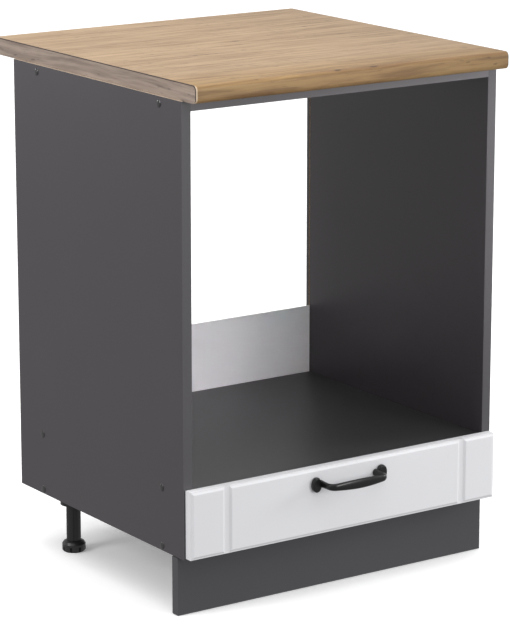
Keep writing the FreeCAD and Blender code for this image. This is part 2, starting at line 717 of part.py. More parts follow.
LEG_LEVELS = {"leg_socket": (socket, "leg_height"), "leg_tube": (tube, TUBE_FOOT),
              "leg_foot": (foot, "0")}
for stem, (master, level) in LEG_LEVELS.items():
    for end, (x, y) in LEGS.items():
        for side, across in (("left", x), ("right", f"-({x})")):
            leg_piece = doc.addObject("App::Link", f"{stem}_{end}_{side}")
            leg_piece.LinkedObject = master
            move(leg_piece, across, y, level)
            keep(leg_piece, f"{stem}_{end}_{side}")

# Plinth board and the clips that hold it on the front legs

PLINTH_REAR = "(front_leg_inset - plinth_setback - plinth_thickness)"
clip = new_body("clip")
clip_ring = sketch_on(clip, "XY_Plane")
draw_circle(clip_ring, "0", "0",
            "leg_tube_radius + screw_clearance + clip_wall")
pad(clip, clip_ring, "clip_height")
clip_neck = sketch_on(clip, "XY_Plane")
draw_polygon(clip_neck, rectangle("-clip_neck / 2", f"-{PLINTH_REAR}", "clip_neck",
                                  f"{PLINTH_REAR} - leg_tube_radius"))
pad(clip, clip_neck, "clip_height")
clip_plate = sketch_on(clip, "XY_Plane")
draw_polygon(clip_plate, rectangle("-clip_plate_width / 2", f"-{PLINTH_REAR}",
                                   "clip_plate_width", "clip_wall"))
pad(clip, clip_plate, "clip_height")
clip_bore = sketch_on(clip, "XY_Plane")
draw_circle(clip_bore, "0", "0", "leg_tube_radius + screw_clearance")
pocket(clip, clip_bore, "clip_height", backwards=True)
clip_mouth = sketch_on(clip, "XY_Plane")
draw_polygon(clip_mouth, rectangle("-clip_jaw / 2", "0", "clip_jaw",
                                   "leg_tube_radius + 2 * clip_wall"))
pocket(clip, clip_mouth, "clip_height", backwards=True)
move(clip, *LEGS["front"], "clip_level")

clip_screws, clip_screw_holes = row(
    "clip_screws", pan_screw("clip_screw", "small_screw_radius", "clip_screw_length"),
    TO_FRONT, [(f"{LEGS['front'][0]} {side} clip_screw_pitch / 2",
                f"{LEGS['front'][1]} - {PLINTH_REAR} + clip_wall",
                "clip_level + clip_height / 2") for side in "+-"], both=True)
keep(clip_screws, "plinth_clip_screws")
left_clip = cut("left_clip", clip, [clip_screw_holes])
keep(compound("clips", [left_clip, mirrored(left_clip, "right_clip")]), "plinth_clips")
plinth_blank = board(
    "plinth_blank", "carcass_width - 2 * plinth_end_gap", "plinth_thickness",
    "leg_height - plinth_top_gap - plinth_floor_gap",
    "outer + plinth_end_gap", "front + plinth_setback", "plinth_floor_gap")
keep(cut("plinth", plinth_blank, [clip_screw_holes]), "plinth_board")

# Drawer box

box_screws, box_screw_holes = row(
    "box_screws", sunk_screw("box_screw", "box_screw_head_radius", "box_screw_head_height",
                             "big_screw_radius", "box_screw_length"),
    TO_RIGHT, [(BOX_X, y, f"box_level + {level}")
               for y in (f"{BOX_Y} + box_board / 2", f"{BOX_Y} + box_length - box_board / 2")
               for level in ("box_screw_low", "box_screw_high")], both=True)
front_screws, front_screw_holes = row(
    "front_screws", pan_screw("front_screw", "big_screw_radius", "front_screw_length"),
    TO_FRONT, [("front_screw_inset - box_width / 2", f"{BOX_Y} + box_board", f"box_level + {level}")
               for level in ("front_screw_low", "front_screw_high")], both=True)
handle_screws, handle_screw_holes = row(
    "handle_screws", pan_screw("handle_screw", "handle_screw_radius",
                               "(drawer_front_thickness + handle_screw_bite)"),
    TO_FRONT, [("-handle_pitch / 2", BOX_Y, "handle_height")], both=True)
keep(box_screws, "drawer_box_screws")
keep(front_screws, "drawer_front_screws")
keep(handle_screws, "handle_screws")

BOX_GROOVE = "(box_bottom_thickness + groove_clearance)"
BOX_INNER = "(box_width - 2 * box_board)"
drawer_side = board("drawer_side_blank", "box_board", "box_length", "box_height",
                    BOX_X, BOX_Y, "box_level")
drawer_side_groove = sketch_on(drawer_side, "YZ_Plane", "box_board")
draw_polygon(drawer_side_groove, rectangle("0", "box_bottom_lift", "box_length",
                                           BOX_GROOVE))
pocket(drawer_side, drawer_side_groove, "box_groove_depth")
both_sides(cut("drawer_side", drawer_side, [drawer_runner_screw_holes, box_screw_holes]),
           "drawer_side")


def box_end(name, y, groove_level, backwards, tools):
    """A board across the drawer box, grooved on its inner face for the bottom."""
    body = board(f"{name}_blank", BOX_INNER, "box_board", "box_height",
                 f"{BOX_X} + box_board", y, "box_level")
    groove = sketch_on(body, "XZ_Plane", groove_level)
    draw_polygon(groove, rectangle("0", "box_bottom_lift", BOX_INNER, BOX_GROOVE))
    pocket(body, groove, "box_groove_depth", backwards)
    keep(cut(name, body, tools), name)


box_end("drawer_inner_front", BOX_Y, "-box_board", True, [box_screw_holes, front_screw_holes])
box_end("drawer_back", f"{BOX_Y} + box_length - box_board", "0", False, [box_screw_holes])

TRAY_REACH = "(box_groove_depth - groove_end_gap)"
keep(board("drawer_tray", f"{BOX_INNER} + 2 * {TRAY_REACH}",
           f"box_length - 2 * box_board + 2 * {TRAY_REACH}", "box_bottom_thickness",
           f"{BOX_X} + box_board - {TRAY_REACH}", f"{BOX_Y} + box_board - {TRAY_REACH}",
           "box_level + box_bottom_lift"), "drawer_bottom")

# Drawer front: bevelled rim on the face, and an upright channel near each end

front_blank = new_body("front_blank")
front_back = sketch_on(front_blank, "XZ_Plane")
FRONT_OUTLINE = rectangle("-drawer_front_width / 2", "0", "drawer_front_width",
                          "drawer_front_height")
draw_polygon(front_back, FRONT_OUTLINE)
pad(front_blank, front_back, "drawer_front_thickness - bevel_depth")
bevel_foot = sketch_on(front_blank, "XZ_Plane", "drawer_front_thickness - bevel_depth")
draw_polygon(bevel_foot, FRONT_OUTLINE)
bevel_top = sketch_on(front_blank, "XZ_Plane", "drawer_front_thickness")
draw_polygon(bevel_top, rectangle(
    "-drawer_front_width / 2 + bevel_width", "bevel_width",
    "drawer_front_width - 2 * bevel_width", "drawer_front_height - 2 * bevel_width"))
bevel = front_blank.newObject("PartDesign::AdditiveLoft", "bevel")
bevel.Profile = bevel_foot
bevel.Sections = [bevel_top]
bevel.Ruled = True
channels = sketch_on(front_blank, "XY_Plane")
for side in ("-", ""):
    centre = f"{side}(drawer_front_width / 2 - channel_inset)"
    draw_polygon(channels, [
        (f"{centre} - channel_width / 2", "-drawer_front_thickness - 1"),
        (f"{centre} + channel_width / 2", "-drawer_front_thickness - 1"),
        (f"{centre} + channel_width / 2", "-drawer_front_thickness"),
        (f"{centre} + channel_floor / 2", "-drawer_front_thickness + channel_depth"),
        (f"{centre} - channel_floor / 2", "-drawer_front_thickness + channel_depth"),
        (f"{centre} - channel_width / 2", "-drawer_front_thickness")])
pocket(front_blank, channels, "drawer_front_height", backwards=True)
move(front_blank, "0", BOX_Y, "front_level")
keep(cut("front_drilled", front_blank, [front_screw_holes, handle_screw_holes]),
     "drawer_front")

# Handle: a cast bow. Two arms stand beside the oval feet, turn at elbows and meet in a grip.

FACE_Y = f"{BOX_Y} - drawer_front_thickness"
UPRIGHT = FreeCAD.Vector(0, 0, 1)
OUTWARDS = FreeCAD.Vector(0, -1, 0)


def arc(centre_x, centre_y, radius, start, end):
    """An arc of a circle, its angles counted in degrees from the sketch's X."""
    circle = Part.Circle(FreeCAD.Vector(centre_x, centre_y, 0), UPRIGHT, radius)
    return Part.ArcOfCircle(circle, math.radians(start), math.radians(end))


def upright_oval(name, heading, height, thickness, x, y):
    """An oval that stands across the direction in which a bar is heading."""
    oval = doc.addObject("Part::Ellipse", name)
    oval.Placement = FreeCAD.Placement(
        FreeCAD.Vector(), FreeCAD.Rotation(UPRIGHT, heading.cross(UPRIGHT), heading, "ZXY"))
    bind(oval, MajorRadius=f"{height} / 2", MinorRadius=f"{thickness} / 2")
    move(oval, x, y, "handle_height")
    return oval


bow_line = doc.addObject("Sketcher::SketchObject", "bow_line")
bow_line.Placement = FreeCAD.Placement(FreeCAD.Vector(), UPWARDS)
move(bow_line, "0", FACE_Y, "handle_height")
turn = value("elbow_turn")
left_arm = bow_line.addGeometry(Part.LineSegment(
    FreeCAD.Vector(-value("arm_x"), value("arm_gap"), 0),
    FreeCAD.Vector(-value("arm_x"), value("elbow_out"), 0)))
left_elbow = bow_line.addGeometry(arc(-value("elbow_x"), value("elbow_out"),
                                      value("elbow_radius"), 180 - turn, 180))
grip = bow_line.addGeometry(arc(0, value("grip_centre"), value("grip_radius"),
                                turn, 180 - turn))
right_elbow = bow_line.addGeometry(arc(value("elbow_x"), value("elbow_out"),
                                       value("elbow_radius"), 0, turn))
right_arm = bow_line.addGeometry(Part.LineSegment(
    FreeCAD.Vector(value("arm_x"), value("elbow_out"), 0),
    FreeCAD.Vector(value("arm_x"), value("arm_gap"), 0)))
for first, first_end, second, second_end in (
        (left_arm, 2, left_elbow, 2), (left_elbow, 1, grip, 2),
        (grip, 1, right_elbow, 2), (right_elbow, 1, right_arm, 1)):
    bow_line.addConstraint(
        Sketcher.Constraint("Tangent", first, first_end, second, second_end))
for bar, root, across, sign in ((left_arm, 1, "-", -1), (right_arm, 2, "", 1)):
    bow_line.addConstraint(Sketcher.Constraint("Vertical", bar))
    tie(bow_line, "DistanceX", linked(f"{across}arm_x"), sign * value("arm_x"),
        -1, 1, bar, root)
    tie(bow_line, "DistanceY", linked("arm_gap"), value("arm_gap"), -1, 1, bar, root)
for bend, word in ((left_elbow, "elbow_radius"), (grip, "grip_radius"),
                   (right_elbow, "elbow_radius")):
    tie(bow_line, "Radius", linked(word), value(word), bend)
bow_line.addConstraint(Sketcher.Constraint("PointOnObject", grip, 3, -2))
tie(bow_line, "DistanceY", linked("grip_centre"), value("grip_centre"), -1, 1, grip, 3)

half_turn = math.radians(turn / 2)
ovals = []
for side, sign in (("left", -1), ("right", 1)):
    across = "-" if side == "left" else ""
    ends = [
        upright_oval(f"{side}_root", OUTWARDS * -sign, "arm_height", "arm_thickness",
                     f"{across}arm_x", f"{FACE_Y} - arm_gap"),
        upright_oval(
            f"{side}_bend", FreeCAD.Vector(math.sin(half_turn), math.cos(half_turn) * sign, 0),
            "elbow_height", "elbow_thickness",
            f"{across}(elbow_x + elbow_radius * cos(elbow_turn / 2))",
            f"{FACE_Y} - elbow_out - elbow_radius * sin(elbow_turn / 2)")]
    ovals.append(ends if side == "left" else ends[::-1])
middle = upright_oval("grip_middle", FreeCAD.Vector(1, 0, 0), "grip_height",
                      "grip_thickness", "0", f"{FACE_Y} - handle_projection + grip_thickness / 2")
bow = doc.addObject("Part::Sweep", "bow")
bow.Sections = [*ovals[0], middle, *ovals[1]]
bow.Spine = (bow_line, [f"Edge{number}" for number in range(1, 6)])
bow.Solid = True
bow.Frenet = True


def handle_foot(name, x):
    """An oval plate against the drawer front, rounded at both rims."""
    oval = upright_oval(f"{name}_oval", OUTWARDS, "handle_foot_height", "handle_foot_width",
                        x, FACE_Y)
    plate = doc.addObject("Part::Extrusion", f"{name}_plate")
    plate.Base = oval
    plate.DirMode = "Custom"
    plate.Dir = OUTWARDS
    plate.Solid = True
    bind(plate, LengthFwd="handle_foot_thickness")
    doc.recompute()
    radius = value("handle_foot_rounding")
    rounded = doc.addObject("Part::Fillet", name)
    rounded.Base = plate
    rounded.Edges = [(number, radius, radius)
                     for number, edge in enumerate(plate.Shape.Edges, start=1)
                     if edge.BoundBox.YLength < 0.01]
    return rounded


handle_blank = doc.addObject("Part::MultiFuse", "handle_blank")
handle_blank.Shapes = [bow, handle_foot("left_foot", "-handle_pitch / 2"),
                       handle_foot("right_foot", "handle_pitch / 2")]
handle_blank.Refine = False     # the swept faces are spoilt when they are merged
keep(cut("handle_drilled", handle_blank, [handle_screw_holes], refine=False), "handle")

# Roller runners. Seen from the front, the cabinet runner is a channel open to the drawer,
# and the drawer runner a ledge under the drawer side with a flange that rolls above it.

AXLE_SEAT = "(runner_space / 2 + runner_flange_gap / 2 + 0.05)"
axle = turned("axle", [
    ("0", "0"), ("axle_radius", "0"), ("axle_radius", "-runner_steel"),
    ("axle_shoulder_radius", "-runner_steel"), ("axle_shoulder_radius", f"-{AXLE_SEAT}"),
    ("axle_radius", f"-{AXLE_SEAT}"),
    ("axle_radius", f"-{AXLE_SEAT} - roller_width - 2 * roller_gap"),
    ("axle_head_radius", f"-{AXLE_SEAT} - roller_width - 2 * roller_gap"),
    ("axle_head_radius", f"-{AXLE_SEAT} - roller_width - 2 * roller_gap - axle_head_height"),
    ("0", f"-{AXLE_SEAT} - roller_width - 2 * roller_gap - axle_head_height")])
axle_hole = turned("axle_hole", [
    ("0", "0"), ("axle_radius + screw_clearance", "0"),
    ("axle_radius + screw_clearance", "-runner_steel"), ("0", "-runner_steel")])
roller = turned("roller", [
    ("axle_radius + shaft_clearance", "0"), ("axle_head_radius + 1", "0"),
    ("axle_head_radius + 1", "-roller_recess"), ("roller_radius - 1.5", "-roller_recess"),
    ("roller_radius - 1.5", "0"), ("roller_radius - 0.5", "0"), ("roller_radius", "-0.5"),
    ("roller_radius", "0.5 - roller_width"), ("roller_radius - 0.5", "-roller_width"),
    ("roller_radius - 1.5", "-roller_width"),
    ("roller_radius - 1.5", "roller_recess - roller_width"),
    ("axle_head_radius + 1", "roller_recess - roller_width"),
    ("axle_head_radius + 1", "-roller_width"),
    ("axle_radius + shaft_clearance", "-roller_width")])

CABINET_ROLLER_Y = "front + runner_setback + cabinet_roller_inset"
DRAWER_ROLLER_Y = f"{BOX_Y} + box_length - drawer_roller_inset"
cabinet_axles, cabinet_axle_holes = row(
    "cabinet_axles", (axle, axle_hole), TO_RIGHT,
    [("inner", CABINET_ROLLER_Y, RUNNER_MIDDLE)], both=True)
drawer_axles, drawer_axle_holes = row(
    "drawer_axles", (axle, axle_hole), TO_LEFT,
    [(BOX_X, DRAWER_ROLLER_Y, RUNNER_MIDDLE)], both=True)
keep(cabinet_axles, "cabinet_roller_axles")
keep(drawer_axles, "drawer_roller_axles")
both_sides(copies("cabinet_roller", roller, TO_RIGHT,
                  [(f"inner + {AXLE_SEAT} + roller_gap", CABINET_ROLLER_Y, RUNNER_MIDDLE)]),
           "cabinet_roller")
both_sides(copies("drawer_roller", roller, TO_LEFT,
                  [(f"{BOX_X} - {AXLE_SEAT} - roller_gap", DRAWER_ROLLER_Y, RUNNER_MIDDLE)]),
           "drawer_roller")

FLANGE_REACH = "(runner_space / 2 - runner_flange_gap / 2)"
cabinet_runner = extruded_along_y("cabinet_runner_blank", [
    ("0", "-runner_steel"), (FLANGE_REACH, "-runner_steel"), (FLANGE_REACH, "0"),
    ("runner_steel", "0"), ("runner_steel", "runner_track"), (FLANGE_REACH, "runner_track"),
    (FLANGE_REACH, "runner_track + runner_steel"), ("0", "runner_track + runner_steel")],
    "box_length")
move(cabinet_runner, "inner", "front + runner_setback", "box_level")
both_sides(cut("cabinet_runner", cabinet_runner,
               [cabinet_runner_screw_holes, cabinet_axle_holes]), "runner_cabinet")

drawer_runner = extruded_along_y("drawer_runner_blank", [
    (f"-{FLANGE_REACH}", "runner_track"), ("-runner_steel", "runner_track"),
    ("-runner_steel", "-runner_steel"), ("runner_ledge", "-runner_steel"),
    ("runner_ledge", "0"), ("0", "0"), ("0", "runner_track + runner_steel"),
    (f"-{FLANGE_REACH}", "runner_track + runner_steel")], "box_length")
move(drawer_runner, BOX_X, BOX_Y, "box_level")
both_sides(cut("drawer_runner", drawer_runner,
               [drawer_runner_screw_holes, drawer_axle_holes]), "runner_drawer")

# Check every object, then write each piece to its own file

doc.recompute()
for thing in doc.Objects:
    if "Invalid" in thing.State or "Error" in thing.State:
        raise RuntimeError(f"{thing.Name} failed: {thing.State}")
os.makedirs("parts", exist_ok=True)
labels = [piece.Label for piece in pieces]
if len(set(labels)) < len(labels):
    raise RuntimeError("two pieces share a name")
for piece in pieces:
    shape = Part.getShape(piece)
    if shape.isNull() or not shape.isValid() or not shape.Solids:
        raise RuntimeError(f"{piece.Label} has no valid solid")
    solids = shape.Solids
    whole = solids[0] if len(solids) == 1 else Part.makeCompound(solids)
    whole.exportStep(os.path.join("parts", f"{piece.Label}.step"))
    print(f"{piece.Label}: {len(solids)} solid(s), {whole.Volume / 1000:.1f} cm3")
print(f"{len(pieces)} pieces")
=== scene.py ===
import math
import bpy
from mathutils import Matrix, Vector


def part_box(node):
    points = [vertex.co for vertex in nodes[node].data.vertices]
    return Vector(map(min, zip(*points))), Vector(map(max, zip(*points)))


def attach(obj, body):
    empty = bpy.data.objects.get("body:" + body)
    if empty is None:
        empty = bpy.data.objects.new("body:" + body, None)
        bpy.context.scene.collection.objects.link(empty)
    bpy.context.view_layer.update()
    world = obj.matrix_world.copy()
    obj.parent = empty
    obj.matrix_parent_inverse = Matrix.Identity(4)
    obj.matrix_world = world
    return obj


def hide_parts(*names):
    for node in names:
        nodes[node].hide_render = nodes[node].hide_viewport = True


# Oven housing cabinet with an oak decor worktop, graphite boards and a white drawer front.
# Metres. +Z is up, +X is to the right seen from the front, and the front faces -Y.

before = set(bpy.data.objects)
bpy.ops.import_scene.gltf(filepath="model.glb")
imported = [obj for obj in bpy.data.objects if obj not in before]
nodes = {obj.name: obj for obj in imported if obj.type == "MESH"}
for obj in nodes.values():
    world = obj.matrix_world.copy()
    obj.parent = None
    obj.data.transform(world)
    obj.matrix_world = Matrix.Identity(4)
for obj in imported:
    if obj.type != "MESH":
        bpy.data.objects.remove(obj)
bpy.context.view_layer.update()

# Shader helpers


class Value:
    """A number, colour or vector on a socket. Arithmetic on numbers adds Math nodes."""

    def __init__(self, finish, socket):
        self.finish = finish
        self.socket = socket

    def maths(self, operation, *terms):
        return self.finish.node("ShaderNodeMath", {"operation": operation},
                                dict(enumerate(terms)))

    def __add__(self, other):
        return self.maths("ADD", self, other)

    def __radd__(self, other):
        return self.maths("ADD", other, self)

    def __sub__(self, other):
        return self.maths("SUBTRACT", self, other)

    def __rsub__(self, other):
        return self.maths("SUBTRACT", other, self)

    def __mul__(self, other):
        return self.maths("MULTIPLY", self, other)

    def __rmul__(self, other):
        return self.maths("MULTIPLY", other, self)

    def __truediv__(self, other):
        return self.maths("DIVIDE", self, other)

    def __rtruediv__(self, other):
        return self.maths("DIVIDE", other, self)

    def __pow__(self, other):
        return self.maths("POWER", self, other)

    def __abs__(self):
        return self.maths("ABSOLUTE", self)

    def __gt__(self, other):
        return self.maths("GREATER_THAN", self, other)

    def __lt__(self, other):
        return self.maths("LESS_THAN", self, other)

    def larger(self, other):
        return self.maths("MAXIMUM", self, other)

    def between(self, low, high):
        """From 0 at low to 1 at high, with a soft start and end."""
        return self.finish.node("ShaderNodeMapRange", {"interpolation_type": "SMOOTHSTEP"},
                                {"Value": self, "From Min": low, "From Max": high})


class Shading:
    """A node tree, and the one method that adds any node to it."""

    def __init__(self, tree):
        self.tree = tree

    def node(self, kind, settings=None, inputs=None, output=0):
        """Add a node: first its settings, then the values or links of its sockets."""
        made = self.tree.nodes.new(kind)
        for name, setting in (settings or {}).items():
            setattr(made, name, setting)
        for name, content in (inputs or {}).items():
            if isinstance(content, Value):
                self.tree.links.new(content.socket, made.inputs[name])
            else:
                made.inputs[name].default_value = content
        return Value(self, made.outputs[output])

    def axes(self, vector):
        split = self.node("ShaderNodeSeparateXYZ", {}, {"Vector": vector})
        outputs = split.socket.node.outputs
        return [Value(self, outputs[number]) for number in range(3)]


class Finish(Shading):
    """A material being made. The constants are its shader's own values, by name."""

    def __init__(self, name, **constants):
        self.material = bpy.data.materials.new(name)
        self.material.use_nodes = True
        super().__init__(self.material.node_tree)
        self.shader = self.tree.nodes["Principled BSDF"]
        for word, content in constants.items():
            self.input(word).default_value = content
        self.place = self.node("ShaderNodeTexCoord", output="Object")
        self.x, self.y, self.z = self.axes(self.place)

    def input(self, word):
        """The main shader's socket whose name starts with these words."""
        start = word.replace("_", " ")
        return next(socket for socket in self.shader.inputs
                    if socket.name.lower().startswith(start))

    def facing(self):
        """The surface's own direction, which turns with the piece."""
        return self.axes(self.node("ShaderNodeTexCoord", output="Normal"))

    def vector(self, x, y, z):
        return self.node("ShaderNodeCombineXYZ", {}, {"X": x, "Y": y, "Z": z})

    def noise(self, scale, vector=None, detail=2, roughness=0.5):
        return self.node("ShaderNodeTexNoise", {},
                         {"Vector": vector or self.place, "Scale": scale, "Detail": detail,
                          "Roughness": roughness})

    def cells(self, scale):
        """A colour of its own for each small cell."""
        return self.node("ShaderNodeTexVoronoi", {},
                         {"Vector": self.place, "Scale": scale}, "Color")

    def mix(self, first, second, share):
        """A colour: the first where share is 0 and the second where it is 1."""
        return self.node("ShaderNodeMix", {"data_type": "RGBA"},
                         {"Factor": share, "A": first, "B": second}, "Result")

    def shaded(self, colour, amount):
        """A colour made lighter or darker all at once."""
        grey = self.node("ShaderNodeCombineColor", {}, {0: amount, 1: amount, 2: amount})
        return self.node("ShaderNodeMix", {"data_type": "RGBA", "blend_type": "MULTIPLY"},
                         {"Factor": 1.0, "A": colour, "B": grey}, "Result")

    def bump(self, height, strength, distance):
        """Relief on the surface, its height in metres at full distance."""
        relief = self.node("ShaderNodeBump", {},
                           {"Height": height, "Strength": strength, "Distance": distance})
        self.tree.links.new(relief.socket, self.shader.inputs["Normal"])

    def paint(self, **sockets):
        for word, content in sockets.items():
            self.tree.links.new(content.socket, self.input(word))
        return self.material


def rgb(red, green, blue):
    return (red, green, blue, 1)


# Boards and their edge bands

BOARD_CORE = rgb(0.66, 0.55, 0.42)
CHIPS_PER_METRE = 900
SIDE_INNER_FACE = 0.2842
SIDE_OUTER_FACE = 0.2998


def chipboard(finish):
    """The raw core of a board: pale and dark chips."""
    chip = finish.axes(finish.cells(CHIPS_PER_METRE))[0]
    return finish.shaded(BOARD_CORE, 0.65 + chip * 0.7)


def graphite_board(name, tone, core=None, painted_sheen=None):
    """Melamine faced board or its band. From the finish, core says where the chipboard
    shows, and the painted sheen, a painted highlight, says how many times lighter the face is at
    each place."""
    finish = Finish(name, specular=0.45)
    speckle = finish.noise(1400, detail=3)
    cloud = finish.noise(9)
    shade = 0.91 + speckle * 0.1 + cloud * 0.08
    # Painted highlight: the face is made lighter where the painted sheen says
    if painted_sheen:
        shade = shade * painted_sheen(finish)
    face = finish.shaded(rgb(*tone), shade)
    finish.bump(finish.noise(2200, detail=2), strength=0.12, distance=0.00006)
    if core:
        face = finish.mix(face, chipboard(finish), core(finish))
    return finish.paint(base_color=face, roughness=0.36 + speckle * 0.08)


def inside_side_panel(finish):
    """Every surface between the two faces: edges, groove and holes."""
    reach = abs(finish.x)
    return (reach > SIDE_INNER_FACE) * (reach < SIDE_OUTER_FACE)


def edges_of_flat_board(finish):
    """Every surface that stands more upright than flat."""
    return abs(finish.facing()[2]) < 0.5


def painted_highlight_to_upper_right(finish):
    """The front bands' painted sheen: a painted highlight that grows from the lower left of the
    cabinet.
    """
    return 1 + finish.x.between(-0.26, 0.3) * finish.z.between(0.2, 0.8) * 0.75


side_board = graphite_board("side_board", (0.0545, 0.0475, 0.0545), inside_side_panel)
flat_board = graphite_board("flat_board", (0.041, 0.041, 0.043), edges_of_flat_board)
plinth_finish = graphite_board("plinth_board", (0.06, 0.06, 0.066))
# The front edge bands carry a painted highlight, lighter towards the upper right
edge_finish = graphite_board("edge_band", (0.078, 0.074, 0.08), painted_sheen=painted_highlight_to_upper_right)
# The rail's band is the same band as the others; its lighter tone is a painted reflection, with
# the same painted highlight towards the upper right
rail_band_with_painted_reflection = graphite_board("rail_edge_band", (0.115, 0.108, 0.116),
                                  painted_sheen=painted_highlight_to_upper_right)

# Oak decor

TOP_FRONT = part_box("worktop")[0][1]
TOP_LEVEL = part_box("worktop")[1][2]
TOP_ROUNDING = 0.008
GOLDEN_STRIP = 0.13
KNOT_BROWN = rgb(0.07, 0.04, 0.022)
# Knots: place along X and Y, half length and half width
KNOTS = [
    (-0.135, -0.042, 0.006, 0.0022), (-0.114, -0.043, 0.005, 0.0018),
    (-0.097, -0.044, 0.004, 0.0014), (0.001, 0.047, 0.009, 0.0035),
    (-0.034, -0.285, 0.008, 0.004), (0.034, -0.286, 0.01, 0.003),
    (-0.016, 0.258, 0.03, 0.0022), (0.19, 0.12, 0.008, 0.003),
]


def oak_colour(finish, along, across, pale, dark):
    """Fibres, soft broad bands and short dark pores between two colours, and the
    fibres' height."""
    flow = finish.noise(1, finish.vector(along * 2.6, across * 7, 0.0), detail=2)
    wander = across + (flow - 0.5) * 0.03

    def marks(lengthwise, crosswise, seed, detail=1, roughness=0.5):
        """Marks with so many waves per metre along the grain and across it."""
        spot = finish.vector(along * lengthwise, wander * crosswise, seed)
        return finish.noise(1, spot, detail=detail, roughness=roughness)

    bands = marks(1.9, 34, seed=3.0, detail=3, roughness=0.6)
    streaks = marks(7, 115, seed=5.0, detail=3, roughness=0.65)
    fibres = marks(22, 520, seed=7.0, detail=4, roughness=0.7)
    flecks = marks(40, 170, seed=13.0)
    pores = marks(95, 1500, seed=11.0)
    patches = marks(5, 16, seed=19.0)
    grain = (bands.between(0.35, 0.68) * 0.35 + streaks.between(0.38, 0.66) * 0.5
             + fibres.between(0.25, 0.8) * 0.2)
    colour = finish.mix(pale, dark, grain)
    pore = pores.between(0.66, 0.76) * patches.between(0.42, 0.6)
    fleck = flecks.between(0.63, 0.72) * patches.between(0.4, 0.56)
    return finish.shaded(colour, 1 - pore * 0.3 - fleck * 0.38), fibres


def knots_and_halos(finish, across):
    """How much of the knots, and of the darker fibres that flow round them."""
    knot = 0.0
    halo = 0.0
    for x, y, half_length, half_width in KNOTS:
        aside = (finish.x - x) / half_length
        beside = (across - y - TOP_LEVEL) / half_width
        distance = (aside * aside + beside * beside) ** 0.5
        knot = knot + (1 - distance.between(0.4, 1.1))
        tail = ((aside * aside) / 20 + (beside * beside) / 3) ** 0.5
        halo = halo + (1 - tail.between(0.2, 1.2))
    return knot, halo


def oak_worktop():
    """Oak decor: fibres along X that run on over the rounded front edge. The front is
    more golden, with one wavy dark streak and a pale joint at its left end."""
    finish = Finish("oak_decor", specular=0.35)
    across = finish.y + finish.z
    knot, halo = knots_and_halos(finish, across)
    golden = 1 - finish.y.between(TOP_FRONT + 0.001, TOP_FRONT + GOLDEN_STRIP)
    pale = finish.mix(rgb(0.56, 0.39, 0.235), rgb(0.47, 0.295, 0.126), golden)
    dark = finish.mix(rgb(0.28, 0.173, 0.09), rgb(0.19, 0.1, 0.04), golden)
    colour, fibres = oak_colour(finish, finish.x, across, pale, dark)
    rounding = 1 - finish.y.between(TOP_FRONT, TOP_FRONT + TOP_ROUNDING)
    to_right = finish.x.between(-0.05, 0.3)
    # Darker towards the right, and painted shade on the rounded front edge
    colour = finish.shaded(colour, 1 - to_right * 0.14 - rounding * 0.14)
    waver = finish.noise(1, finish.vector(finish.x * 5, 0.0, 23.0), detail=2)
    aside = abs(across - TOP_FRONT - TOP_LEVEL + 0.008 - waver * 0.022)
    wavy = (1 - aside.between(0.001, 0.0065)) * finish.x.between(-0.16, 0.0)
    colour = finish.mix(colour, rgb(0.2, 0.105, 0.045), wavy * 0.5)
    joint = (1 - finish.x.between(-0.2945, -0.2925)) * rounding
    colour = finish.mix(colour, rgb(0.85, 0.68, 0.5), joint * 0.7)
    colour = finish.mix(colour, rgb(0.2, 0.115, 0.06), halo * 0.45)
    colour = finish.mix(colour, KNOT_BROWN, knot * 0.8)
    finish.bump(fibres, strength=0.12, distance=0.00012)
    return finish.paint(base_color=colour, roughness=0.38 + fibres * 0.12)


def oak_end_band():
    """A greyer band with its fibres along Y, and a dark joint at its upper edge."""
    finish = Finish("oak_end_band", specular=0.45)
    colour, fibres = oak_colour(finish, finish.y, finish.z, rgb(0.4, 0.31, 0.25),
                                rgb(0.165, 0.118, 0.092))
    over = (TOP_ROUNDING - (TOP_LEVEL - finish.z)).larger(0.0)
    ahead = (TOP_ROUNDING - (finish.y - TOP_FRONT)).larger(0.0)
    depth = TOP_ROUNDING - (over * over + ahead * ahead) ** 0.5
    colour = finish.mix(rgb(0.05, 0.033, 0.026), colour, depth.between(0.0009, 0.0021))
    finish.bump(fibres, strength=0.12, distance=0.0001)
    return finish.paint(base_color=colour, roughness=0.42 + fibres * 0.12)


def beech_dowel():
    finish = Finish("beech_dowel")
    colour, fibres = oak_colour(finish, finish.x, finish.y + finish.z,
                                rgb(0.62, 0.45, 0.28), rgb(0.5, 0.34, 0.2))
    return finish.paint(base_color=colour, roughness=0.5 + fibres * 0.12)


worktop_finish = oak_worktop()
end_finish = oak_end_band()
beech = beech_dowel()

# Paint, metal and plastic

FOOT_NOTCH_HEIGHT = 0.009
CLOUD_TO_GRAIN = 30


def plain(name, tone, roughness, grain=700, depth=0.00005, mottle=0.06, **constants):
    """Moulded, painted or plated surfaces: an even tone with a fine skin."""
    finish = Finish(name, **constants)
    skin = finish.noise(grain, detail=3)
    cloud = finish.noise(grain / CLOUD_TO_GRAIN)
    finish.bump(skin, strength=0.2, distance=depth)
    return finish.paint(
        base_color=finish.shaded(rgb(*tone), 1 - mottle + skin * mottle + cloud * mottle),
        roughness=roughness - 0.05 + skin * 0.1)


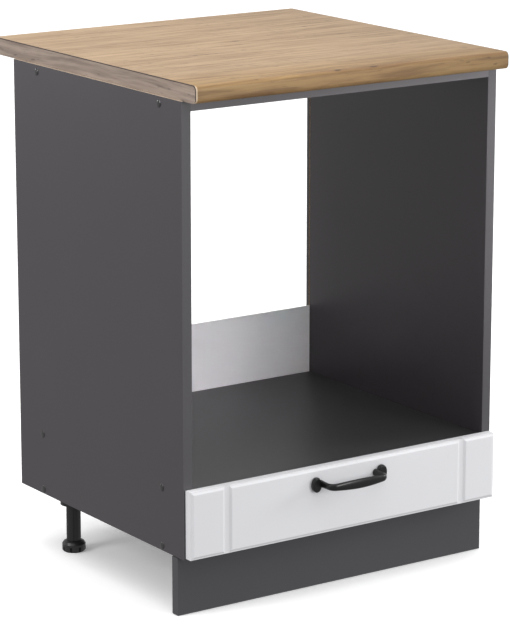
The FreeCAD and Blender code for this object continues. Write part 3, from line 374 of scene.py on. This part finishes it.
def notched_foot(name, foot):
    """Black plastic for a pair of feet, with painted shade: near black in the notches round the
    rim.
    """
    finish = Finish(name)
    (left, front, _), (right, back, _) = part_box(foot)
    radius = (back - front) / 2
    aside = abs(finish.x) - abs(left + right) / 2
    beside = finish.y - (front + back) / 2
    inward = radius - (aside * aside + beside * beside) ** 0.5
    # Painted shade: the notches round the rim are painted near black and made rougher
    painted_notch_shade = inward.between(0.0002, 0.001) * (finish.z < FOOT_NOTCH_HEIGHT + 0.0003)
    skin = finish.noise(900, detail=3)
    finish.bump(skin, strength=0.2, distance=0.00005)
    tone = finish.mix(rgb(0.017, 0.016, 0.017), rgb(0.0008, 0.0008, 0.0008), painted_notch_shade)
    return finish.paint(base_color=tone, roughness=0.32 + skin * 0.06 + painted_notch_shade * 0.5)


white_front = plain("white_foil", (0.755, 0.755, 0.78), 0.34, grain=260, depth=0.00008,
                    mottle=0.015)
white_board = plain("white_board", (0.76, 0.76, 0.75), 0.45, mottle=0.02)
back_finish = plain("pale_grey_board", (0.8, 0.79, 0.82), 0.4, grain=400, mottle=0.03)
black_cast = plain("black_cast", (0.006, 0.006, 0.0065), 0.3, grain=500, depth=0.0001,
                   specular=0.4)
black_plastic = plain("black_plastic", (0.008, 0.0075, 0.008), 0.34, grain=900)
front_feet = notched_foot("front_feet", "leg_foot_front_left")
rear_feet = notched_foot("rear_feet", "leg_foot_rear_left")
grey_cap = plain("grey_cap", (0.02, 0.019, 0.02), 0.19, grain=900, specular=0.7)
zinc = plain("zinc_plate", (0.62, 0.6, 0.54), 0.32, grain=900, metallic=1.0)
runner_paint = plain("runner_paint", (0.7, 0.7, 0.68), 0.4, grain=600)
nylon = plain("nylon", (0.62, 0.62, 0.6), 0.45, grain=900)

FINISHES = {
    side_board: ["side_panel_left", "side_panel_right"],
    flat_board: ["bottom_panel", "oven_shelf", "top_rail_front", "top_rail_rear"],
    edge_finish: ["side_edge_band_left", "side_edge_band_right", "bottom_edge_band",
                  "shelf_edge_band"],
    rail_band_with_painted_reflection: ["rail_edge_band"],
    plinth_finish: ["plinth_board"],
    back_finish: ["back_panel"],
    worktop_finish: ["worktop"],
    end_finish: ["worktop_edge_left", "worktop_edge_right"],
    white_front: ["drawer_front"],
    white_board: ["drawer_side_left", "drawer_side_right", "drawer_inner_front",
                  "drawer_back", "drawer_bottom"],
    black_cast: ["handle"],
    black_plastic: ["plinth_clips"],
    grey_cap: ["screw_caps"],
    runner_paint: ["runner_cabinet_left", "runner_cabinet_right", "runner_drawer_left",
                   "runner_drawer_right"],
    nylon: ["cabinet_roller_left", "cabinet_roller_right", "drawer_roller_left",
            "drawer_roller_right"],
    beech: ["carcass_dowels"],
    front_feet: ["leg_foot_front_left", "leg_foot_front_right"],
    rear_feet: ["leg_foot_rear_left", "leg_foot_rear_right"],
    zinc: [],
}
for name in nodes:
    if name.startswith(("leg_socket", "leg_tube")):
        FINISHES[black_plastic].append(name)
    elif name.endswith(("_screws", "_nails", "_axles")):
        FINISHES[zinc].append(name)
for finish, names in FINISHES.items():
    for name in names:
        nodes[name].data.materials.clear()
        nodes[name].data.materials.append(finish)

# Drawer front: a moulded board with a stepped rim and two upright channels

RIM_WIDTH = 0.0056
RIM_DEPTH = 0.0021
RIM_STEP = 0.0012
EDGE_ROUNDING = 0.0006
CHANNEL_INSET = 0.0675
CHANNEL_HALF_WIDTH = 0.0088
CHANNEL_FLOOR = 0.0038
CHANNEL_DEPTH = 0.0028
# How far the mesh is fine on both sides of an edge or a channel, and its pitch there
EDGE_FINENESS = (0.007, 0.0002)
CHANNEL_FINENESS = (0.0096, 0.0004)
SHARP_ANGLE = 50


def soft_step(share):
    share = min(max(share, 0), 1)
    return share * share * (3 - 2 * share)


def rim_depth(inward):
    """How far the face lies back, at a distance in from the nearest edge of the board."""
    if inward < EDGE_ROUNDING:
        lean = 1 - inward / EDGE_ROUNDING
        return RIM_DEPTH + EDGE_ROUNDING * (1 - math.sqrt(1 - lean * lean))
    return RIM_DEPTH * (1 - soft_step((inward - RIM_STEP) / (RIM_WIDTH - RIM_STEP)))


def channel_depth(aside):
    """The same, at a distance sideways from the middle of a channel."""
    wall = (CHANNEL_HALF_WIDTH - abs(aside)) / (CHANNEL_HALF_WIDTH - CHANNEL_FLOOR)
    return CHANNEL_DEPTH * soft_step(wall)


def fine_steps(low, high, spots):
    """Numbers from low to high: close together within reach of each spot."""
    steps = {low, high}
    for spot, (reach, pitch) in spots.items():
        count = round(2 * reach / pitch)
        steps.update(round(spot - reach + number * pitch, 6) for number in range(count + 1))
    return sorted(step for step in steps if low <= step <= high)


def moulded_front():
    (left, face, bottom), (right, back, top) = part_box("drawer_front")
    channels = (left + CHANNEL_INSET, right - CHANNEL_INSET)
    across = fine_steps(left, right, {left: EDGE_FINENESS, right: EDGE_FINENESS,
                                      **dict.fromkeys(channels, CHANNEL_FINENESS)})
    upwards = fine_steps(bottom, top, {bottom: EDGE_FINENESS, top: EDGE_FINENESS})
    points = []
    for z in upwards:
        for x in across:
            inward = min(x - left, right - x, z - bottom, top - z)
            depth = max(rim_depth(inward), *(channel_depth(x - channel) for channel in channels))
            points.append((x, face + depth, z))
    columns, rows = len(across), len(upwards)
    quads = [(row * columns + column, row * columns + column + 1,
              (row + 1) * columns + column + 1, (row + 1) * columns + column)
             for row in range(rows - 1) for column in range(columns - 1)]
    # The face's own outline, once round, and the same outline on the flat back
    outline = [*range(columns),
               *(row * columns + columns - 1 for row in range(1, rows)),
               *((rows - 1) * columns + column for column in range(columns - 2, -1, -1)),
               *(row * columns for row in range(rows - 2, 0, -1))]
    first = len(points)
    points += [(points[index][0], back, points[index][2]) for index in outline]
    count = len(outline)
    walls = [(outline[index], first + index, first + (index + 1) % count,
              outline[(index + 1) % count]) for index in range(count)]
    rear = tuple(range(first, first + count))
    mesh = bpy.data.meshes.new("moulded_front")
    mesh.from_pydata(points, [], quads + walls + [rear])
    mesh.update()
    mesh.shade_smooth()
    mesh.set_sharp_from_angle(angle=math.radians(SHARP_ANGLE))
    piece = bpy.data.objects.new("moulded_front", mesh)
    bpy.context.scene.collection.objects.link(piece)
    mesh.materials.append(white_front)
    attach(piece, "drawer")
    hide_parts("drawer_front")


moulded_front()

# Floor, light and camera

FLOOR_REACH = 40


def floor():
    """A white floor that takes soft shadows and neither lights the boards nor shows in
    their gloss."""
    corners = [(-FLOOR_REACH, -FLOOR_REACH, 0), (FLOOR_REACH, -FLOOR_REACH, 0),
               (FLOOR_REACH, FLOOR_REACH, 0), (-FLOOR_REACH, FLOOR_REACH, 0)]
    mesh = bpy.data.meshes.new("floor")
    mesh.from_pydata(corners, [], [(0, 1, 2, 3)])
    piece = bpy.data.objects.new("floor", mesh)
    bpy.context.scene.collection.objects.link(piece)
    finish = Finish("studio_floor", roughness=0.8, specular=0.1,
                    emission_color=rgb(1, 1, 1), emission_strength=0.2)
    tone = finish.noise(3)
    piece.data.materials.append(
        finish.paint(base_color=finish.shaded(rgb(0.93, 0.93, 0.935), 0.99 + tone * 0.02)))
    piece.visible_diffuse = False
    piece.visible_glossy = False


def area_light(name, place, target, size, power, spread=180):
    light = bpy.data.lights.new(name, "AREA")
    light.size = size
    light.energy = power
    light.spread = math.radians(spread)
    lamp = bpy.data.objects.new(name, light)
    lamp.location = place
    lamp.rotation_euler = (Vector(target) - Vector(place)).to_track_quat("-Z", "Y").to_euler()
    bpy.context.scene.collection.objects.link(lamp)


def studio_sky(horizon, zenith, nadir):
    """White surroundings, brighter overhead and dimmer below."""
    world = bpy.data.worlds.new("studio")
    world.use_nodes = True
    sky = Shading(world.node_tree)
    height = sky.axes(sky.node("ShaderNodeTexCoord", output="Generated"))[2]
    strength = (horizon + height.larger(0.0) ** 5 * (zenith - horizon)
                + (height * -1).larger(0.0) * (nadir - horizon))
    backdrop = world.node_tree.nodes["Background"]
    backdrop.inputs["Color"].default_value = rgb(1, 1, 1)
    world.node_tree.links.new(strength.socket, backdrop.inputs["Strength"])
    bpy.context.scene.world = world


floor()
studio_sky(horizon=0.54, zenith=2.85, nadir=0.4)
area_light("key_light", (1.3, -3.6, 1.1), (0, -0.25, 0.5), size=0.8, power=36)
area_light("side_light", (3.3, -1.3, 1.2), (0, -0.25, 0.4), size=1.0, power=42)
area_light("left_light", (-2.6, 0.1, 1.6), (-0.3, -0.1, 0.5), size=1.0, power=24)
# Glints on the screw caps, and the pool of light on the back panel
area_light("cap_light", (-1.9, 3.0, 0.8), (-0.3, 0, 0.4), size=0.4, power=4.5)
area_light("niche_light", (-0.1, -3.2, 2.2), (0.085, 0.235, 0.28), size=0.3, power=0.155,
           spread=8)
bpy.context.scene.view_settings.view_transform = "Standard"

camera = bpy.data.objects.new("camera", bpy.data.cameras.new("camera"))
camera.location = (-2.7003, -3.9631, 1.569)
camera.rotation_euler = (math.radians(76.151), 0, math.radians(-34.34))
camera.data.lens = 168.8
camera.data.sensor_width = 36
bpy.context.scene.collection.objects.link(camera)
bpy.context.scene.camera = camera
